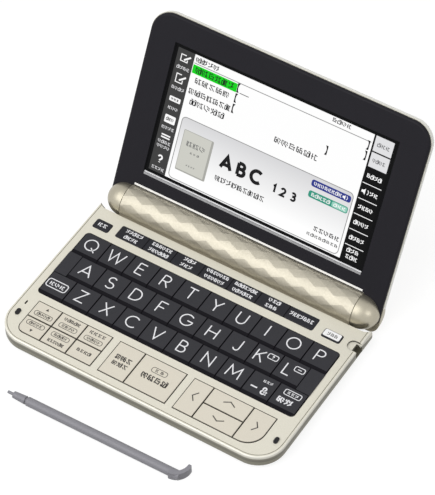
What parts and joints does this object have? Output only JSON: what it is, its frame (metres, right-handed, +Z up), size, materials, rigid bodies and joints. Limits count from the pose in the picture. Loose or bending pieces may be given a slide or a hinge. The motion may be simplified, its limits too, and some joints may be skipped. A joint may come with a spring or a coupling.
{
  "type": "electronic dictionary",
  "caption": "Pocket electronic dictionary: a thin base with a letter keyboard and a faceted battery barrel, a hinged lid with a wide display, and a loose stylus.",
  "frame": {"origin": "on the table plane under the middle of the closed footprint (where the rubber feet rest)", "axes": "+X to the user's right along the hinge, +Y from the front edge to the hinge, +Z up"},
  "size_m": [0.148, 0.1698, 0.0949],
  "materials": {
    "case_champagne": "satin metallic paint",
    "case_bronze": "satin metallic paint",
    "barrel_champagne": "metallic paint on facets",
    "key_charcoal": "fine matt",
    "key_champagne": "satin metallic paint",
    "key_white": "gloss",
    "bezel_charcoal": "satin",
    "screen": "glossy lit display",
    "trim_silver": "brushed",
    "battery_jacket": "printed foil",
    "contact_steel": "plated",
    "board_green": "solder mask",
    "rubber_black": "matt",
    "stylus_grey": "satin"
  },
  "bodies": {
    "base": {"base_upper_case": "case_champagne", "base_lower_case": "case_bronze", "hinge_barrel": "barrel_champagne", "batteries": "battery_jacket", "battery_contacts": "contact_steel", "main_board": "board_green", "key_mat": "rubber_black", "hinge_pins": "contact_steel", "rubber_feet": "rubber_black", "case_screws": "contact_steel"},
    "lid": {"lid_bezel": "bezel_charcoal", "lid_cover": "case_champagne", "display_panel": "screen", "lid_trims": "trim_silver"},
    "battery_cover": {"battery_cover": "barrel_champagne"},
    "stylus": {"stylus": "stylus_grey"},
    "key_q": {"key_q": "key_charcoal"},
    "key_w": {"key_w": "key_charcoal"},
    "key_e": {"key_e": "key_charcoal"},
    "key_r": {"key_r": "key_charcoal"},
    "key_t": {"key_t": "key_charcoal"},
    "key_y": {"key_y": "key_charcoal"},
    "key_u": {"key_u": "key_charcoal"},
    "key_i": {"key_i": "key_charcoal"},
    "key_o": {"key_o": "key_charcoal"},
    "key_p": {"key_p": "key_charcoal"},
    "key_a": {"key_a": "key_charcoal"},
    "key_s": {"key_s": "key_charcoal"},
    "key_d": {"key_d": "key_charcoal"},
    "key_f": {"key_f": "key_charcoal"},
    "key_g": {"key_g": "key_charcoal"},
    "key_h": {"key_h": "key_charcoal"},
    "key_j": {"key_j": "key_charcoal"},
    "key_k": {"key_k": "key_charcoal"},
    "key_l": {"key_l": "key_charcoal"},
    "key_z": {"key_z": "key_charcoal"},
    "key_x": {"key_x": "key_charcoal"},
    "key_c": {"key_c": "key_charcoal"},
    "key_v": {"key_v": "key_charcoal"},
    "key_b": {"key_b": "key_charcoal"},
    "key_n": {"key_n": "key_charcoal"},
    "key_m": {"key_m": "key_charcoal"},
    "key_shift": {"key_shift": "key_charcoal"},
    "key_symbol": {"key_symbol": "key_charcoal"},
    "key_delete": {"key_delete": "key_charcoal"},
    "key_quick_1": {"key_quick_1": "key_champagne"},
    "key_quick_2": {"key_quick_2": "key_champagne"},
    "key_quick_3": {"key_quick_3": "key_champagne"},
    "key_quick_4": {"key_quick_4": "key_champagne"},
    "key_quick_5": {"key_quick_5": "key_champagne"},
    "key_quick_6": {"key_quick_6": "key_champagne"},
    "key_back": {"key_back": "key_champagne"},
    "key_enter": {"key_enter": "key_champagne"},
    "key_left": {"key_left": "key_champagne"},
    "key_up": {"key_up": "key_champagne"},
    "key_down": {"key_down": "key_champagne"},
    "key_right": {"key_right": "key_champagne"},
    "function_keys": {"function_keys": "key_charcoal"},
    "key_power": {"key_power": "key_charcoal"},
    "key_home": {"key_home": "key_white"}
  },
  "joints": [
    {"name": "lid_hinge", "type": "hinge", "parent": "base", "child": "lid", "pos_m": [0, 0.04373, 0.0093], "axis": [-1, 0, 0], "range_deg": [-117.4, 32.6]},
    {"name": "key_q_press", "type": "slide", "parent": "base", "child": "key_q", "axis": [0, 0, -1], "range_m": [0, 0.0008], "stiffness_N_per_m": 80, "springref_m": -0.004},
    {"name": "key_w_press", "type": "slide", "parent": "base", "child": "key_w", "axis": [0, 0, -1], "range_m": [0, 0.0008], "stiffness_N_per_m": 80, "springref_m": -0.004},
    {"name": "key_e_press", "type": "slide", "parent": "base", "child": "key_e", "axis": [0, 0, -1], "range_m": [0, 0.0008], "stiffness_N_per_m": 80, "springref_m": -0.004},
    {"name": "key_r_press", "type": "slide", "parent": "base", "child": "key_r", "axis": [0, 0, -1], "range_m": [0, 0.0008], "stiffness_N_per_m": 80, "springref_m": -0.004},
    {"name": "key_t_press", "type": "slide", "parent": "base", "child": "key_t", "axis": [0, 0, -1], "range_m": [0, 0.0008], "stiffness_N_per_m": 80, "springref_m": -0.004},
    {"name": "key_y_press", "type": "slide", "parent": "base", "child": "key_y", "axis": [0, 0, -1], "range_m": [0, 0.0008], "stiffness_N_per_m": 80, "springref_m": -0.004},
    {"name": "key_u_press", "type": "slide", "parent": "base", "child": "key_u", "axis": [0, 0, -1], "range_m": [0, 0.0008], "stiffness_N_per_m": 80, "springref_m": -0.004},
    {"name": "key_i_press", "type": "slide", "parent": "base", "child": "key_i", "axis": [0, 0, -1], "range_m": [0, 0.0008], "stiffness_N_per_m": 80, "springref_m": -0.004},
    {"name": "key_o_press", "type": "slide", "parent": "base", "child": "key_o", "axis": [0, 0, -1], "range_m": [0, 0.0008], "stiffness_N_per_m": 80, "springref_m": -0.004},
    {"name": "key_p_press", "type": "slide", "parent": "base", "child": "key_p", "axis": [0, 0, -1], "range_m": [0, 0.0008], "stiffness_N_per_m": 80, "springref_m": -0.004},
    {"name": "key_a_press", "type": "slide", "parent": "base", "child": "key_a", "axis": [0, 0, -1], "range_m": [0, 0.0008], "stiffness_N_per_m": 80, "springref_m": -0.004},
    {"name": "key_s_press", "type": "slide", "parent": "base", "child": "key_s", "axis": [0, 0, -1], "range_m": [0, 0.0008], "stiffness_N_per_m": 80, "springref_m": -0.004},
    {"name": "key_d_press", "type": "slide", "parent": "base", "child": "key_d", "axis": [0, 0, -1], "range_m": [0, 0.0008], "stiffness_N_per_m": 80, "springref_m": -0.004},
    {"name": "key_f_press", "type": "slide", "parent": "base", "child": "key_f", "axis": [0, 0, -1], "range_m": [0, 0.0008], "stiffness_N_per_m": 80, "springref_m": -0.004},
    {"name": "key_g_press", "type": "slide", "parent": "base", "child": "key_g", "axis": [0, 0, -1], "range_m": [0, 0.0008], "stiffness_N_per_m": 80, "springref_m": -0.004},
    {"name": "key_h_press", "type": "slide", "parent": "base", "child": "key_h", "axis": [0, 0, -1], "range_m": [0, 0.0008], "stiffness_N_per_m": 80, "springref_m": -0.004},
    {"name": "key_j_press", "type": "slide", "parent": "base", "child": "key_j", "axis": [0, 0, -1], "range_m": [0, 0.0008], "stiffness_N_per_m": 80, "springref_m": -0.004},
    {"name": "key_k_press", "type": "slide", "parent": "base", "child": "key_k", "axis": [0, 0, -1], "range_m": [0, 0.0008], "stiffness_N_per_m": 80, "springref_m": -0.004},
    {"name": "key_l_press", "type": "slide", "parent": "base", "child": "key_l", "axis": [0, 0, -1], "range_m": [0, 0.0008], "stiffness_N_per_m": 80, "springref_m": -0.004},
    {"name": "key_z_press", "type": "slide", "parent": "base", "child": "key_z", "axis": [0, 0, -1], "range_m": [0, 0.0008], "stiffness_N_per_m": 80, "springref_m": -0.004},
    {"name": "key_x_press", "type": "slide", "parent": "base", "child": "key_x", "axis": [0, 0, -1], "range_m": [0, 0.0008], "stiffness_N_per_m": 80, "springref_m": -0.004},
    {"name": "key_c_press", "type": "slide", "parent": "base", "child": "key_c", "axis": [0, 0, -1], "range_m": [0, 0.0008], "stiffness_N_per_m": 80, "springref_m": -0.004},
    {"name": "key_v_press", "type": "slide", "parent": "base", "child": "key_v", "axis": [0, 0, -1], "range_m": [0, 0.0008], "stiffness_N_per_m": 80, "springref_m": -0.004},
    {"name": "key_b_press", "type": "slide", "parent": "base", "child": "key_b", "axis": [0, 0, -1], "range_m": [0, 0.0008], "stiffness_N_per_m": 80, "springref_m": -0.004},
    {"name": "key_n_press", "type": "slide", "parent": "base", "child": "key_n", "axis": [0, 0, -1], "range_m": [0, 0.0008], "stiffness_N_per_m": 80, "springref_m": -0.004},
    {"name": "key_m_press", "type": "slide", "parent": "base", "child": "key_m", "axis": [0, 0, -1], "range_m": [0, 0.0008], "stiffness_N_per_m": 80, "springref_m": -0.004},
    {"name": "key_shift_press", "type": "slide", "parent": "base", "child": "key_shift", "axis": [0, 0, -1], "range_m": [0, 0.0008], "stiffness_N_per_m": 80, "springref_m": -0.004},
    {"name": "key_symbol_press", "type": "slide", "parent": "base", "child": "key_symbol", "axis": [0, 0, -1], "range_m": [0, 0.0008], "stiffness_N_per_m": 80, "springref_m": -0.004},
    {"name": "key_delete_press", "type": "slide", "parent": "base", "child": "key_delete", "axis": [0, 0, -1], "range_m": [0, 0.0008], "stiffness_N_per_m": 80, "springref_m": -0.004},
    {"name": "key_quick_1_press", "type": "slide", "parent": "base", "child": "key_quick_1", "axis": [0, 0, -1], "range_m": [0, 0.0008], "stiffness_N_per_m": 80, "springref_m": -0.004},
    {"name": "key_quick_2_press", "type": "slide", "parent": "base", "child": "key_quick_2", "axis": [0, 0, -1], "range_m": [0, 0.0008], "stiffness_N_per_m": 80, "springref_m": -0.004},
    {"name": "key_quick_3_press", "type": "slide", "parent": "base", "child": "key_quick_3", "axis": [0, 0, -1], "range_m": [0, 0.0008], "stiffness_N_per_m": 80, "springref_m": -0.004},
    {"name": "key_quick_4_press", "type": "slide", "parent": "base", "child": "key_quick_4", "axis": [0, 0, -1], "range_m": [0, 0.0008], "stiffness_N_per_m": 80, "springref_m": -0.004},
    {"name": "key_quick_5_press", "type": "slide", "parent": "base", "child": "key_quick_5", "axis": [0, 0, -1], "range_m": [0, 0.0008], "stiffness_N_per_m": 80, "springref_m": -0.004},
    {"name": "key_quick_6_press", "type": "slide", "parent": "base", "child": "key_quick_6", "axis": [0, 0, -1], "range_m": [0, 0.0008], "stiffness_N_per_m": 80, "springref_m": -0.004},
    {"name": "key_back_press", "type": "slide", "parent": "base", "child": "key_back", "axis": [0, 0, -1], "range_m": [0, 0.0008], "stiffness_N_per_m": 80, "springref_m": -0.004},
    {"name": "key_enter_press", "type": "slide", "parent": "base", "child": "key_enter", "axis": [0, 0, -1], "range_m": [0, 0.0008], "stiffness_N_per_m": 80, "springref_m": -0.004},
    {"name": "key_left_press", "type": "slide", "parent": "base", "child": "key_left", "axis": [0, 0, -1], "range_m": [0, 0.0008], "stiffness_N_per_m": 80, "springref_m": -0.004},
    {"name": "key_up_press", "type": "slide", "parent": "base", "child": "key_up", "axis": [0, 0, -1], "range_m": [0, 0.0008], "stiffness_N_per_m": 80, "springref_m": -0.004},
    {"name": "key_down_press", "type": "slide", "parent": "base", "child": "key_down", "axis": [0, 0, -1], "range_m": [0, 0.0008], "stiffness_N_per_m": 80, "springref_m": -0.004},
    {"name": "key_right_press", "type": "slide", "parent": "base", "child": "key_right", "axis": [0, 0, -1], "range_m": [0, 0.0008], "stiffness_N_per_m": 80, "springref_m": -0.004},
    {"name": "function_keys_press", "type": "slide", "parent": "base", "child": "function_keys", "axis": [0, 0, -1], "range_m": [0, 0.0006], "stiffness_N_per_m": 100, "springref_m": -0.004},
    {"name": "key_power_press", "type": "slide", "parent": "base", "child": "key_power", "axis": [0, 0, -1], "range_m": [0, 0.0006], "stiffness_N_per_m": 100, "springref_m": -0.004},
    {"name": "key_home_press", "type": "slide", "parent": "base", "child": "key_home", "axis": [0, 0, -1], "range_m": [0, 0.0006], "stiffness_N_per_m": 100, "springref_m": -0.004},
    {"name": "battery_cover_slide", "type": "slide", "parent": "base", "child": "battery_cover", "axis": [0, 1, 0], "range_m": [0, 0.02]},
    {"name": "stylus_lift", "type": "slide", "parent": "base", "child": "stylus", "axis": [0, 0, 1], "range_m": [0, 0.06]}
  ]
}
